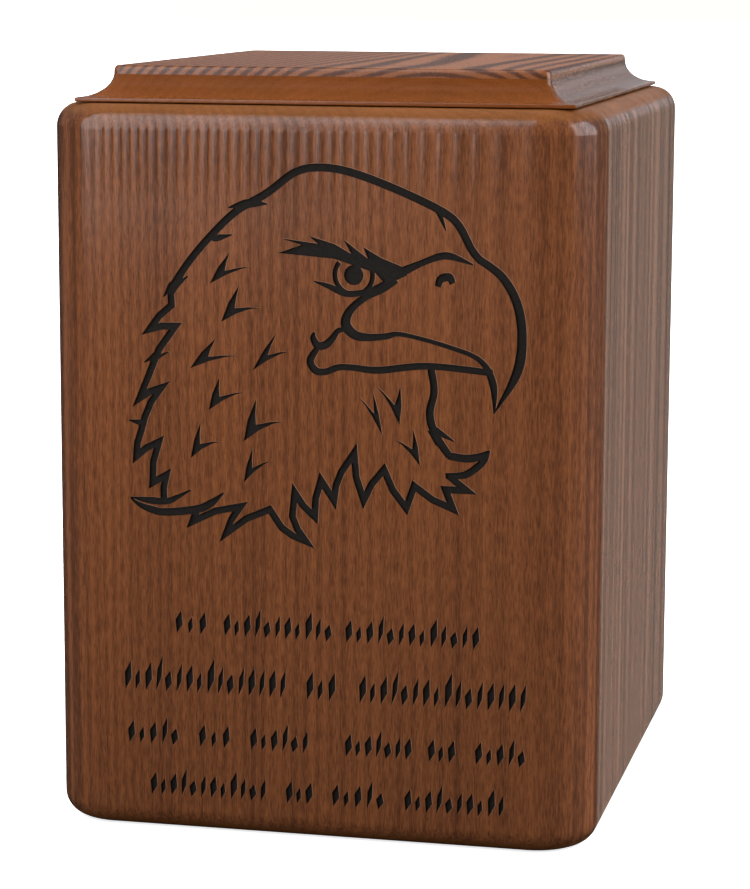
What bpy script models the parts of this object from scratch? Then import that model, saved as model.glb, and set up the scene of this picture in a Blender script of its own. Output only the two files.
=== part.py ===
"""Wooden cremation urn: a hollow case with an engraved front, a moulded top plate and a
base panel held by four screws.

Metres, +Z up, the engraved front faces -Y, and the origin is the middle of the underside.
"""

import math

import bmesh
import bpy
from mathutils import Matrix, Vector

# Case, a box of four boards
CASE_WIDTH = 0.165
CASE_DEPTH = 0.190
CASE_HEIGHT = 0.217
WALL = 0.019
CORNER_RADIUS = 0.019
TOP_RADIUS = 0.0072
FOOT_RADIUS = 0.007
FOOT_FLAT = 0.0015

# Top plate, seated just inside the rounded top edge of the case
PLATE_MARGIN = 0.0009
LIP_HEIGHT = 0.0012
COVE_WIDTH = 0.0089
COVE_HEIGHT = 0.0072
ARRIS_WIDTH = 0.0009
ARRIS_HEIGHT = 0.0020

# Base panel, let into a rebate of the underside
LEDGE_WIDTH = 0.009
REBATE_CORNER_RADIUS = 0.006
PANEL_THICKNESS = 0.009
PANEL_SETBACK = 0.001
PANEL_CLEARANCE = 0.0005

# Countersunk wood screws
SCREW_LENGTH = 0.019
SCREW_RADIUS = 0.0014
SCREW_POINT = 0.003
SCREW_HEAD_RADIUS = 0.0028
SCREW_HEAD_HEIGHT = 0.0017
SCREW_HEAD_RIM = 0.0003
SCREW_SINK = 0.0003
SCREW_FROM_END = 0.038
CROSS_LENGTH = 0.0032
CROSS_WIDTH = 0.0007
CROSS_DEPTH = 0.0009
SCREW_TURN_FIRST = 20
SCREW_TURN_STEP = 31

# Gap between pieces that touch, and the spare length of a cutter past what it cuts
SEAT_GAP = 0.0003
OVERCUT = 0.002

# Engraving on the front
GROOVE_DEPTH = 0.001
EAGLE_HEIGHT = 0.111
EAGLE_BELOW_TOP = 0.0169
EAGLE_SHIFT = 0.0018
STROKE_PITCH = 0.0032
STROKE_WIDTH = 0.0025
STROKE_SLANT = 0.2
STROKE_SHOULDER = 0.4
STROKE_INSET = 0.35
STROKE_VARIETY = 0.25
STROKE_THINNING = 0.3

# Facets on a quarter turn of an edge or a cove, and on the whole turn of a screw or a spot
CORNER_FACETS = 10
EDGE_FACETS = 5
COVE_FACETS = 12
ARRIS_FACETS = 5
SCREW_FACETS = 24
SPOT_FACETS = 14

# Steps between two points of a smooth line, and on the ring of the eye
LINE_STEPS = 4
RING_STEPS = 18

# Least share of a line's width that a sharp corner is mitred by
LEAST_SLANT = 0.3

# Edges that meet at more than this angle, in degrees, are shaded sharp
SHARP_ANGLE = 35

# How near two points count as one, and how level an edge is
WELD = 1e-6
LEVEL = 1e-4

PARTS_NAME = "wooden_urn"
CUTTERS_NAME = "cutters"

# Rows of the inscription: baseline above the foot, height of a stroke, and the left and
# right end of each word, all in metres
INSCRIPTION = (
    (0.0610, 0.0070, ((-0.043, -0.032), (-0.028, 0.006), (0.009, 0.050))),
    (0.0430, 0.0088, ((-0.059, -0.008), (-0.003, 0.007), (0.013, 0.064))),
    (0.0266, 0.0070, ((-0.058, -0.041), (-0.036, -0.025), (-0.020, -0.001), (0.009, 0.030),
                      (0.034, 0.043), (0.048, 0.064))),
    (0.0110, 0.0070, ((-0.051, -0.014), (-0.009, 0.000), (0.005, 0.022), (0.027, 0.058))),
)

# Smooth lines of the eagle's head in hundredths of its height, as across, up and width
CROWN_LINE = ((-40.2, 67, 2.2), (-35.6, 74, 2.0), (-29.8, 80.9, 2.0), (-22.4, 88, 2.1), (-14, 93, 2.1),
              (-6.5, 98.5, 2.1), (0, 99.9, 2.1), (8, 98.9, 2.1), (19, 95.2, 2.1), (31, 90, 2.1),
              (36.4, 86.2, 2.1), (40.2, 79.6, 2.1), (42.8, 76.6, 2.0))
BEAK_RIDGE = ((42.2, 77.2, 2.0), (48.2, 72.8, 2.2), (52.2, 65.8, 2.4), (53.5, 57, 2.5), (52.2, 48, 2.5),
              (46.4, 37.4, 0.3))
CERE_LINE = ((22.4, 73.7, 2.4), (27.2, 75.9, 1.7), (31.9, 77.7, 1.9), (35.2, 77.7, 1.8), (40.6, 75.8, 0.4))
MOUTH_LINE = ((20.5, 71.4, 1.8), (16.8, 68.9, 2.0), (12.1, 66.5, 1.9), (8.2, 63, 2.2), (7.1, 59.4, 2.7),
              (9.6, 56.7, 2.5), (13.4, 56.2, 2.0), (17.7, 56.6, 1.7), (22.4, 57.2, 1.2), (35, 54.2, 1.2),
              (42.8, 51, 1.4), (46.1, 45, 2.0), (46.5, 37.4, 0.4))
GAPE_CURL = ((-1.3, 57.1, 0.6), (-1.6, 55.5, 1.7), (-0.3, 53.6, 2.1), (1.9, 54, 2.1), (3.7, 55.8, 1.8),
             (5, 57.6, 1.4), (7, 58.2, 1.4))
LOWER_BILL = ((-0.6, 52.8, 1.6), (-2.4, 49.6, 2.0), (-1, 47.1, 2.0), (1.6, 46.8, 1.8), (5.4, 48.1, 1.7),
              (9.6, 48.1, 1.7), (16, 47.7, 1.9), (29, 49.2, 1.8), (46, 48, 1.8))
NOSTRIL = ((31.4, 69.9, 1.6), (32.2, 71.9, 2.1), (34.4, 72.4, 2.1), (35.3, 70.8, 1.6))
LOWER_LID = ((-1.4, 70.4, 0.3), (2.6, 69.2, 1.4), (7.4, 67.4, 1.7), (13, 68.2, 1.6), (18, 70.4, 1.8))
THROAT_LINE = ((29.8, 48.4, 2.0), (30.6, 42.6, 2.0), (29.5, 36.8, 2.1), (31, 31.4, 2.2), (34.8, 25.8, 2.0))
BEARD_TOP = ((34.4, 26, 2.0), (39, 25.4, 2.1), (42.6, 26, 1.9), (45.2, 27.6, 0.5))
BEARD_FOOT = ((33.8, 20.6, 1.5), (38.6, 21, 1.9), (41.6, 22.8, 2.0), (44, 25.2, 1.8), (45.3, 27.8, 0.5))
CORNER_TOP = ((-51.8, 11.2, 0.3), (-46.5, 10.6, 1.8), (-41.6, 10.6, 1.8), (-38.4, 12, 1.2), (-35, 13.9, 0.3))
CORNER_FOOT = ((-51.8, 11, 0.3), (-49.4, 9.4, 1.3), (-46.5, 8.3, 1.9), (-42.3, 7.6, 2.1), (-33.6, 8.7, 2.2),
               (-29.4, 10.6, 2.0), (-26, 13.5, 0.4))

# Barbs that leave a line, in the same way
BARBS = (
    ((-24.4, 89, 0.3), (-19, 90.2, 2.4), (-13.8, 90.2, 0.3)),
    ((-29.6, 81, 0.6), (-27.6, 81, 1.8), (-23.4, 82, 0.3)),
    ((31.4, 89.6, 1.8), (33.4, 84.4, 0.3)),
    ((-40.4, 66.4, 2.4), (-38, 68.8, 1.4), (-35.4, 70.8, 0.3)),
    ((-39.6, 68.6, 2.2), (-42.2, 65.2, 0.3)),
    ((-43.4, 50.4, 2.2), (-47.6, 47.6, 0.3)),
    ((-46, 48, 1.8), (-41, 50.6, 0.3)),
    ((-47.4, 31.2, 2.4), (-52, 32, 0.3)),
    ((31, 32.4, 2.2), (36, 29.8, 0.3)),
    ((32, 29, 2.0), (29, 32.4, 0.3)),
)

# Corners of the ragged back of the neck and of its hem, as across and up
NAPE_CORNERS = ((-40.2, 67), (-40, 63), (-46, 56.5), (-39, 57.5), (-46.5, 44), (-49, 38), (-43, 41),
                (-47.6, 33), (-48.6, 29.4), (-50, 22.4), (-43.8, 26.4), (-45.6, 15.4), (-41.8, 17.6),
                (-42.5, 10.8))
HEM_CORNERS = ((-33.2, 9), (-34.6, 5.4), (-21.4, 10), (-25.4, 2.6), (-13.4, 9.6), (-10.2, 4.9),
               (-3.6, 1.5), (-7.3, 8), (-6.6, 14.4), (-1.2, 8.2), (0.5, 18), (4, 12.8), (6, 20.5),
               (9.4, 25.6), (12, 13.2), (17.4, 21.6), (23.4, 11.6), (25.5, 17.6), (35.8, 12),
               (33.8, 17), (39.4, 17), (34.6, 20.7))
RAGGED_WIDTH = 1.9
LEG_BOW = 0.06
LEAST_BOWED = 6.5

# Brow: outline with ragged tips, as across and up
BROW = ((23.4, 72.6), (21.8, 74.9), (16.8, 76.8), (11.7, 79.6), (12.9, 76.7), (6.5, 81.4), (8.5, 77.8),
        (4.1, 80.2), (-2.8, 82.2), (-0.4, 80.2), (-10.4, 81.4), (-4.8, 79.8), (-11, 77.5), (-1.4, 76.8),
        (4, 76.4), (14.9, 73), (17.8, 70))
EYE_CENTRE = (9.2, 72.3)
EYE_RADIUS = 5.0
EYE_LINE = 1.3
EYE_START = 140
EYE_END = 395
PUPIL_RADIUS = 2.6

# Small feathers: corner across and up, then length and lean of the upright and of the low arm
FLICKS = (
    (-29.5, 69, 10.0, 33, 12.4, 67),
    (-26.5, 59, 11.0, 27, 11.2, 69),
    (-35, 46.5, 10.8, 41, 13.6, 74),
    (-18, 46.5, 12.2, 33, 11.4, 62),
    (-30, 35.5, 9.2, 19, 11.0, 62),
    (-20.5, 27.5, 12.0, 17, 12.2, 62),
    (-35, 22.5, 10.0, 16, 9.4, 60),
    (-20.5, 16.5, 9.6, 15, 9.8, 51),
    (17, 30.5, 12.6, -13, 12.0, -33),
    (21.5, 33.5, 10.4, 1, 12.0, -32),
    (27, 23, 10.0, -11, 9.6, -46),
)
# Shape of a small feather, as shares of its upright arm and of its low arm
FLICK_SHAPE = ((0.0, 0.0), (0.09, 0.36), (0.08, 0.70), (0.0, 1.0), (0.15, 0.66), (0.29, 0.22),
               (0.62, 0.10), (1.0, 0.0), (0.55, -0.07))


def clear_scene():
    """Take every object out of the open scene."""
    for old in list(bpy.data.objects):
        bpy.data.objects.remove(old, do_unlink=True)


def new_collection(name):
    """A collection under the scene's own."""
    collection = bpy.data.collections.new(name)
    bpy.context.scene.collection.children.link(collection)
    return collection


def new_material(name, colour, roughness, metallic=0.0):
    """A plain Principled material."""
    material = bpy.data.materials.new(name)
    material.use_nodes = True
    shader = material.node_tree.nodes["Principled BSDF"]
    shader.inputs["Base Color"].default_value = (*colour, 1.0)
    shader.inputs["Roughness"].default_value = roughness
    shader.inputs["Metallic"].default_value = metallic
    return material


def add_object(name, mesh, collection, material):
    """Put a mesh into a collection as an object of its own."""
    mesh.materials.append(material)
    item = bpy.data.objects.new(name, mesh)
    collection.objects.link(item)
    return item


def as_cutter(item):
    """Hide a cutting shape from renders."""
    item.hide_render = True
    item.display_type = "WIRE"
    return item


def shade_round(mesh):
    """Shade the round stretches smooth and keep the sharp edges."""
    mesh.shade_smooth()
    mesh.set_sharp_from_angle(angle=math.radians(SHARP_ANGLE))


def block_mesh(name, low, high, upright_radius=0.0, top_radius=0.0, foot_radius=0.0):
    """A box between two corners with rounded upright, top and foot edges."""
    low, high = Vector(low), Vector(high)
    shape = bmesh.new()
    bmesh.ops.create_cube(shape, size=1.0)
    place = Matrix.Translation((low + high) / 2) @ Matrix.Diagonal((*(high - low), 1.0))
    bmesh.ops.transform(shape, matrix=place, verts=shape.verts)
    if upright_radius:
        upright = [e for e in shape.edges if abs(e.verts[0].co.z - e.verts[1].co.z) > LEVEL]
        bmesh.ops.bevel(shape, geom=upright, offset=upright_radius, offset_type="OFFSET",
                        segments=CORNER_FACETS, profile=0.5, affect="EDGES")
    for level, radius in ((high.z, top_radius), (low.z, foot_radius)):
        if radius:
            ring = [e for e in shape.edges if all(abs(v.co.z - level) < LEVEL for v in e.verts)]
            bmesh.ops.bevel(shape, geom=ring, offset=radius, offset_type="OFFSET",
                            segments=EDGE_FACETS, profile=0.5, affect="EDGES")
    mesh = bpy.data.meshes.new(name)
    shape.to_mesh(mesh)
    shape.free()
    return mesh


def outline_mesh(name, outline, thickness):
    """A closed flat outline with a thickness about its own plane, from a filled 2D curve."""
    curve = bpy.data.curves.new(name, "CURVE")
    curve.dimensions = "2D"
    curve.fill_mode = "BOTH"
    curve.extrude = thickness / 2
    spline = curve.splines.new("POLY")
    spline.points.add(len(outline) - 1)
    for point, (across, up) in zip(spline.points, outline):
        point.co = (across, up, 0.0, 1.0)
    spline.use_cyclic_u = True
    holder = bpy.data.objects.new(name, curve)
    bpy.context.scene.collection.objects.link(holder)
    graph = bpy.context.evaluated_depsgraph_get()
    mesh = bpy.data.meshes.new_from_object(holder.evaluated_get(graph))
    shape = bmesh.new()
    shape.from_mesh(mesh)
    bmesh.ops.remove_doubles(shape, verts=shape.verts, dist=WELD)
    bmesh.ops.recalc_face_normals(shape, faces=shape.faces)
    shape.to_mesh(mesh)
    shape.free()
    bpy.data.objects.remove(holder, do_unlink=True)
    mesh.materials.clear()
    return mesh


def turned_object(name, profile, collection, material):
    """A turned piece: a profile in X and Z, top to bottom, spun about Z."""
    mesh = bpy.data.meshes.new(name)
    edges = [(i, i + 1) for i in range(len(profile) - 1)]
    mesh.from_pydata([(radius, 0.0, height) for radius, height in profile], edges, [])
    item = add_object(name, mesh, collection, material)
    spin = item.modifiers.new("Spin", "SCREW")
    spin.axis = "Z"
    spin.angle = math.tau
    spin.steps = SCREW_FACETS
    spin.render_steps = SCREW_FACETS
    spin.use_merge_vertices = True
    spin.merge_threshold = WELD
    spin.use_smooth_shade = False
    return item


def cut(item, cutter):
    """Take one cutting shape away from a piece."""
    boolean = item.modifiers.new("Cut " + cutter.name, "BOOLEAN")
    boolean.operation = "DIFFERENCE"
    boolean.solver = "EXACT"
    boolean.object = cutter


def cut_all(item, collection):
    """Take all the shapes of a collection away from a piece."""
    boolean = item.modifiers.new("Cut " + collection.name, "BOOLEAN")
    boolean.operation = "DIFFERENCE"
    boolean.solver = "EXACT"
    boolean.operand_type = "COLLECTION"
    boolean.collection = collection
    boolean.material_mode = "TRANSFER"


def rim_width():
    """Wood left outside the rebate of the underside."""
    return WALL - LEDGE_WIDTH


def rebate_depth():
    """Height of the rebate's ledge above the underside."""
    return PANEL_SETBACK + PANEL_THICKNESS + SEAT_GAP


def screw_places():
    """Name and place of each screw, in the middle of the panel's bearing on the side ledges."""
    reach = CASE_WIDTH / 2 - WALL + (LEDGE_WIDTH - PANEL_CLEARANCE) / 2
    along = CASE_DEPTH / 2 - SCREW_FROM_END
    return [("front_left", -reach, -along), ("front_right", reach, -along),
            ("back_left", -reach, along), ("back_right", reach, along)]


def smooth_line(points):
    """Points along a smooth curve through the given ones, width and all."""
    ends = [points[0], *points, points[-1]]
    path = []
    for a, b, c, d in zip(ends, ends[1:], ends[2:], ends[3:]):
        for step in range(LINE_STEPS):
            t = step / LINE_STEPS
            path.append(tuple(
                0.5 * (2 * q + (r - p) * t + (2 * p - 5 * q + 4 * r - s) * t ** 2
                       + (3 * q - p - 3 * r + s) * t ** 3)
                for p, q, r, s in zip(a, b, c, d)))
    path.append(tuple(points[-1]))
    return path


def ribbon(path):
    """Outline of a line with a width at each point, mitred at its corners."""
    left, right = [], []
    for i, (across, up, width) in enumerate(path):
        here = Vector((across, up))
        before = here - Vector(path[i - 1][:2]) if i else None
        after = Vector(path[i + 1][:2]) - here if i + 1 < len(path) else None
        before = before or after
        after = after or before
        turn = before.normalized() + after.normalized()
        side = Vector((-turn.y, turn.x)).normalized()
        slant = side.dot(Vector((-after.y, after.x)).normalized())
        reach = width / 2 / max(slant, LEAST_SLANT)
        left.append(here + side * reach)
        right.append(here - side * reach)
    return [tuple(p) for p in left + right[::-1]]


def ring(centre, radius, start, end, width):
    """A line with a width along a round arc, angles in degrees."""
    angles = [math.radians(start + (end - start) * i / RING_STEPS) for i in range(RING_STEPS + 1)]
    return [(centre[0] + radius * math.cos(a), centre[1] + radius * math.sin(a), width)
            for a in angles]


def spot(centre, radius):
    """Outline of a round spot."""
    angles = [math.tau * i / SPOT_FACETS for i in range(SPOT_FACETS)]
    return [(centre[0] + radius * math.cos(a), centre[1] + radius * math.sin(a)) for a in angles]


def ragged_line(corners):
    """A line of even width through corners, with each long leg bowed a little to one side."""
    path = []
    for (x, y), (next_x, next_y) in zip(corners, corners[1:]):
        path.append((x, y, RAGGED_WIDTH))
        if math.dist((x, y), (next_x, next_y)) > LEAST_BOWED:
            bow = LEG_BOW if next_y < y else -LEG_BOW
            path.append(((x + next_x) / 2 + bow * (next_y - y),
                         (y + next_y) / 2 - bow * (next_x - x), RAGGED_WIDTH))
    return path + [(*corners[-1], RAGGED_WIDTH)]


def flick(across, up, upright, upright_lean, low, low_lean):
    """Outline of one small feather: a check mark with pointed arms."""
    tall = Vector((math.sin(math.radians(upright_lean)), math.cos(math.radians(upright_lean)))) * upright
    long = Vector((math.sin(math.radians(low_lean)), math.cos(math.radians(low_lean)))) * low
    return [tuple(Vector((across, up)) + a * tall + b * long) for a, b in FLICK_SHAPE]


def eagle_outlines():
    """Every groove of the eagle's head, in hundredths of its height."""
    smooth_lines = (CROWN_LINE, BEAK_RIDGE, CERE_LINE, MOUTH_LINE, GAPE_CURL, LOWER_BILL, NOSTRIL,
                    LOWER_LID, THROAT_LINE, BEARD_TOP, BEARD_FOOT, CORNER_TOP, CORNER_FOOT, *BARBS)
    outlines = [ribbon(smooth_line(line)) for line in smooth_lines]
    outlines.extend(ribbon(ragged_line(corners)) for corners in (NAPE_CORNERS, HEM_CORNERS))
    outlines.append(list(BROW))
    outlines.append(ribbon(ring(EYE_CENTRE, EYE_RADIUS, EYE_START, EYE_END, EYE_LINE)))
    outlines.append(spot(EYE_CENTRE, PUPIL_RADIUS))
    outlines.extend(flick(*row) for row in FLICKS)
    return outlines


def stroke(foot, baseline, tall, half):
    """Outline of one pointed stroke that leans to the right."""
    lean = STROKE_SLANT * tall
    low, high = STROKE_SHOULDER, 1.0 - STROKE_SHOULDER
    return [(foot, baseline), (foot + half + lean * low, baseline + tall * low),
            (foot + lean, baseline + tall), (foot - half + lean * high, baseline + tall * high)]


def row_strokes():
    """Pointed slanting strokes in rows, in the place of the inscription."""
    strokes = []
    for baseline, height, words in INSCRIPTION:
        for left, right in words:
            count = max(2, round((right - left) / STROKE_PITCH))
            step = (right - left) / count
            for i in range(count):
                taller = STROKE_VARIETY if i % 5 == 3 else 0.0
                shorter = STROKE_VARIETY if i % 3 == 1 else 0.0
                slimmer = STROKE_THINNING if i % 2 else 0.0
                strokes.append(stroke(left + step * (i + STROKE_INSET), baseline,
                                      height * (1.0 + taller - shorter),
                                      STROKE_WIDTH / 2 * (1.0 - slimmer)))
    return strokes


def on_front():
    """Where a flat outline drawn across and up goes on the front of the case."""
    turn = Matrix.Rotation(math.radians(90), 4, "X")
    return Matrix.Translation((0.0, -CASE_DEPTH / 2, 0.0)) @ turn


def make_grooves(name, outlines, fill):
    """Cutters that sink a set of outlines into the front as flat-bottomed grooves."""
    collection = new_collection(name)
    for number, outline in enumerate(outlines):
        mesh = outline_mesh("%s_%02d" % (name, number), outline, 2 * GROOVE_DEPTH)
        cutter = as_cutter(add_object(mesh.name, mesh, collection, fill))
        cutter.matrix_world = on_front()
    return collection


def make_engraving(fill):
    """The grooves of the eagle's head and of the inscription's rows."""
    scale = EAGLE_HEIGHT / 100
    base = CASE_HEIGHT - EAGLE_BELOW_TOP - EAGLE_HEIGHT
    eagle = [[(EAGLE_SHIFT + x * scale, base + z * scale) for x, z in outline]
             for outline in eagle_outlines()]
    return [make_grooves("eagle_grooves", eagle, fill),
            make_grooves("inscription_grooves", row_strokes(), fill)]


def make_case(parts, cutters, wood, fill):
    """The hollow box: open above and below, rebated underneath, engraved in front."""
    engraving = make_engraving(fill)
    half_width, half_depth = CASE_WIDTH / 2, CASE_DEPTH / 2
    foot_radius = min(FOOT_RADIUS, rim_width() - FOOT_FLAT)
    mesh = block_mesh("case", (-half_width, -half_depth, 0.0), (half_width, half_depth, CASE_HEIGHT),
                      CORNER_RADIUS, TOP_RADIUS, foot_radius)
    shade_round(mesh)
    case = add_object("case", mesh, parts, wood)

    inner_x, inner_y = half_width - WALL, half_depth - WALL
    hollow = block_mesh("hollow", (-inner_x, -inner_y, -OVERCUT),
                        (inner_x, inner_y, CASE_HEIGHT + OVERCUT))
    cut(case, as_cutter(add_object("hollow", hollow, cutters, wood)))

    rebate_x, rebate_y = half_width - rim_width(), half_depth - rim_width()
    rebate = block_mesh("rebate", (-rebate_x, -rebate_y, -OVERCUT),
                        (rebate_x, rebate_y, rebate_depth()), REBATE_CORNER_RADIUS)
    cut(case, as_cutter(add_object("rebate", rebate, cutters, wood)))

    pilot_top = PANEL_SETBACK + SCREW_SINK + SCREW_LENGTH + SEAT_GAP
    pilot_profile = [(0.0, pilot_top), (SCREW_RADIUS + SEAT_GAP, pilot_top),
                     (SCREW_RADIUS + SEAT_GAP, rebate_depth() - OVERCUT),
                     (0.0, rebate_depth() - OVERCUT)]
    for name, x, y in screw_places():
        pilot = as_cutter(turned_object("pilot_" + name, pilot_profile, cutters, wood))
        pilot.location = (x, y, 0.0)
        cut(case, pilot)

    for collection in engraving:
        cut_all(case, collection)


def cove_outline():
    """What the moulding takes off the plate's edge: a cove under a rounded upper arris."""
    inner = -COVE_WIDTH - ARRIS_WIDTH
    outline = [(inner, OVERCUT)]
    for i in range(ARRIS_FACETS):
        angle = math.pi / 2 * i / ARRIS_FACETS
        outline.append((inner + ARRIS_WIDTH * math.sin(angle), ARRIS_HEIGHT * (math.cos(angle) - 1.0)))
    for i in range(COVE_FACETS + 1):
        angle = math.pi / 2 * i / COVE_FACETS
        outline.append((-COVE_WIDTH * math.cos(angle), -ARRIS_HEIGHT - COVE_HEIGHT * math.sin(angle)))
    return outline + [(OVERCUT, -ARRIS_HEIGHT - COVE_HEIGHT), (OVERCUT, OVERCUT)]


def make_top_plate(parts, cutters, wood):
    """The moulded board that closes the case above."""
    inset = TOP_RADIUS + PLATE_MARGIN
    half_x, half_y = CASE_WIDTH / 2 - inset, CASE_DEPTH / 2 - inset
    low = CASE_HEIGHT + SEAT_GAP
    high = low + LIP_HEIGHT + COVE_HEIGHT + ARRIS_HEIGHT
    board = block_mesh("top_plate", (-half_x, -half_y, low), (half_x, half_y, high))
    plate = add_object("top_plate", board, parts, wood)
    for side, (reach, length) in enumerate(((half_x, half_y), (half_y, half_x)) * 2):
        mesh = outline_mesh("cove_%d" % side, cove_outline(), 2 * (length + OVERCUT))
        cutter = as_cutter(add_object(mesh.name, mesh, cutters, wood))
        upright = Matrix.Rotation(math.radians(90), 4, "X")
        outward = Matrix.Rotation(math.radians(90 * side), 4, "Z")
        cutter.matrix_world = outward @ Matrix.Translation((reach, 0.0, high)) @ upright
        cut(plate, cutter)


def screw_profile(grow=0.0):
    """Half section of a screw from its point down to its head, grown all round for its hole."""
    rim = SCREW_HEAD_RIM
    return [(0.0, SCREW_LENGTH), (SCREW_RADIUS + grow, SCREW_LENGTH - SCREW_POINT),
            (SCREW_RADIUS + grow, SCREW_HEAD_HEIGHT), (SCREW_HEAD_RADIUS + grow, rim),
            (SCREW_HEAD_RADIUS + grow, 0.0), (0.0, 0.0)]


def make_base_panel(parts, cutters, wood):
    """The loose board under the case, with a countersunk hole for each screw."""
    edge = rim_width() + PANEL_CLEARANCE
    half_x, half_y = CASE_WIDTH / 2 - edge, CASE_DEPTH / 2 - edge
    mesh = block_mesh("base_panel", (-half_x, -half_y, PANEL_SETBACK),
                      (half_x, half_y, PANEL_SETBACK + PANEL_THICKNESS),
                      REBATE_CORNER_RADIUS - PANEL_CLEARANCE)
    panel = add_object("base_panel", mesh, parts, wood)
    past_top = PANEL_THICKNESS + OVERCUT
    hole_profile = [(0.0, past_top), (SCREW_RADIUS + SEAT_GAP, past_top),
                    *screw_profile(SEAT_GAP)[2:4],
                    (SCREW_HEAD_RADIUS + SEAT_GAP, -OVERCUT), (0.0, -OVERCUT)]
    for name, x, y in screw_places():
        hole = as_cutter(turned_object("countersink_" + name, hole_profile, cutters, wood))
        hole.location = (x, y, PANEL_SETBACK + SCREW_SINK)
        cut(panel, hole)


def cross_outline():
    """The cross recess of a screw head."""
    long, short = CROSS_LENGTH / 2, CROSS_WIDTH / 2
    quarter = [(long, -short), (long, short), (short, short)]
    outline = []
    for turn in range(4):
        cosine, sine = round(math.cos(turn * math.pi / 2)), round(math.sin(turn * math.pi / 2))
        outline.extend((x * cosine - y * sine, x * sine + y * cosine) for x, y in quarter)
    return outline


def make_screws(parts, cutters, brass):
    """The four screws, each with its head just below the panel's face."""
    for number, (name, x, y) in enumerate(screw_places()):
        screw = turned_object("base_screw_" + name, screw_profile(), parts, brass)
        screw.location = (x, y, PANEL_SETBACK + SCREW_SINK)
        mesh = outline_mesh("cross_" + name, cross_outline(), 2 * CROSS_DEPTH)
        cross = as_cutter(add_object(mesh.name, mesh, cutters, brass))
        cross.location = screw.location
        cross.rotation_euler.z = math.radians(SCREW_TURN_FIRST + SCREW_TURN_STEP * number)
        cut(screw, cross)


def main():
    clear_scene()
    parts = new_collection(PARTS_NAME)
    cutters = new_collection(CUTTERS_NAME)
    wood = new_material("walnut stained wood", (0.205, 0.071, 0.032), 0.32)
    panel_wood = new_material("base panel wood", (0.165, 0.068, 0.034), 0.55)
    fill = new_material("black engraving fill", (0.013, 0.011, 0.009), 0.6)
    brass = new_material("screw brass", (0.55, 0.39, 0.16), 0.35, 1.0)
    make_top_plate(parts, cutters, wood)
    make_base_panel(parts, cutters, panel_wood)
    make_screws(parts, cutters, brass)
    make_case(parts, cutters, wood, fill)


main()
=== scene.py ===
"""Looks of the wooden urn: fine case and top plate, stained wood, engraving, stage and lights."""

import math

import bmesh
import bpy
from bpy.props import FloatProperty, FloatVectorProperty, IntProperty, PointerProperty
from mathutils import Matrix, Vector


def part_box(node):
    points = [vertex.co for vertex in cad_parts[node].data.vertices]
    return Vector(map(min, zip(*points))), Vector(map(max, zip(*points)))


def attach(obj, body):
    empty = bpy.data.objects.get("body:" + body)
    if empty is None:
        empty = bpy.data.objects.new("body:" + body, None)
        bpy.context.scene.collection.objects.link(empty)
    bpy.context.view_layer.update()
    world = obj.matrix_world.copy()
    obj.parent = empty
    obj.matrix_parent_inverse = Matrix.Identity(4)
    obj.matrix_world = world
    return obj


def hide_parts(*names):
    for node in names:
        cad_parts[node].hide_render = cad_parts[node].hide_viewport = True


bl_info = {
    "name": "Engraved Wooden Urn",
    "version": (1, 0, 0),
    "blender": (4, 5, 0),
    "location": "View3D > Sidebar > Urn",
    "description": "Builds the fine surface of a wooden urn around its fixed frame",
    "category": "Object",
}

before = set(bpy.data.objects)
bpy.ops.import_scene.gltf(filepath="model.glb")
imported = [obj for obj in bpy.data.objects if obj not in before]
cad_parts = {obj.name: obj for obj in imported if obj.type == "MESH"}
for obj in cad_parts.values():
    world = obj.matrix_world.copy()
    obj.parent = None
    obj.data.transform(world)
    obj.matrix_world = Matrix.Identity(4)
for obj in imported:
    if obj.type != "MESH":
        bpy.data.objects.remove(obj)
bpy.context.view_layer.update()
CASE_LOW, CASE_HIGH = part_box("case")
PLATE_LOW, PLATE_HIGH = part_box("top_plate")
PANEL_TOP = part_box("base_panel")[1][2]
SCREW_NAMES = ("base_screw_front_left", "base_screw_front_right",
               "base_screw_back_left", "base_screw_back_right")

CASE_WIDTH = CASE_HIGH[0] - CASE_LOW[0]
CASE_DEPTH = CASE_HIGH[1] - CASE_LOW[1]
CASE_HEIGHT = CASE_HIGH[2] - CASE_LOW[2]
PLATE_HALF_X = (PLATE_HIGH[0] - PLATE_LOW[0]) / 2
PLATE_HALF_Y = (PLATE_HIGH[1] - PLATE_LOW[1]) / 2

# How far a cutter reaches past what it cuts, and how near two heights are to count as one
OVERCUT = 0.002
LEVEL = 1e-4

# Air above the base panel and its screws, the screws' pilot holes, and the rebate's upright
# corners as radius and facets
CLEARANCE = 0.0003
PILOT_RADIUS = 0.0017
PILOT_FACETS = 24
REBATE_CORNER = (0.006, 12)

# Angles in degrees from which an edge stays sharp
CASE_SHARP = 32
PLATE_SHARP = 50

# Painted highlight beside a groove, a pale line standing in for light caught by the groove's
# edge: its direction up from the right and its depth. Depths step a little from groove to
# groove, so that no two floors lie in one plane
SHOULDER_ANGLE = math.radians(35)
SHOULDER_DEPTH = 0.00005
DEPTH_STEP = 0.000002
DEPTH_STEPS = 11

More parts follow.
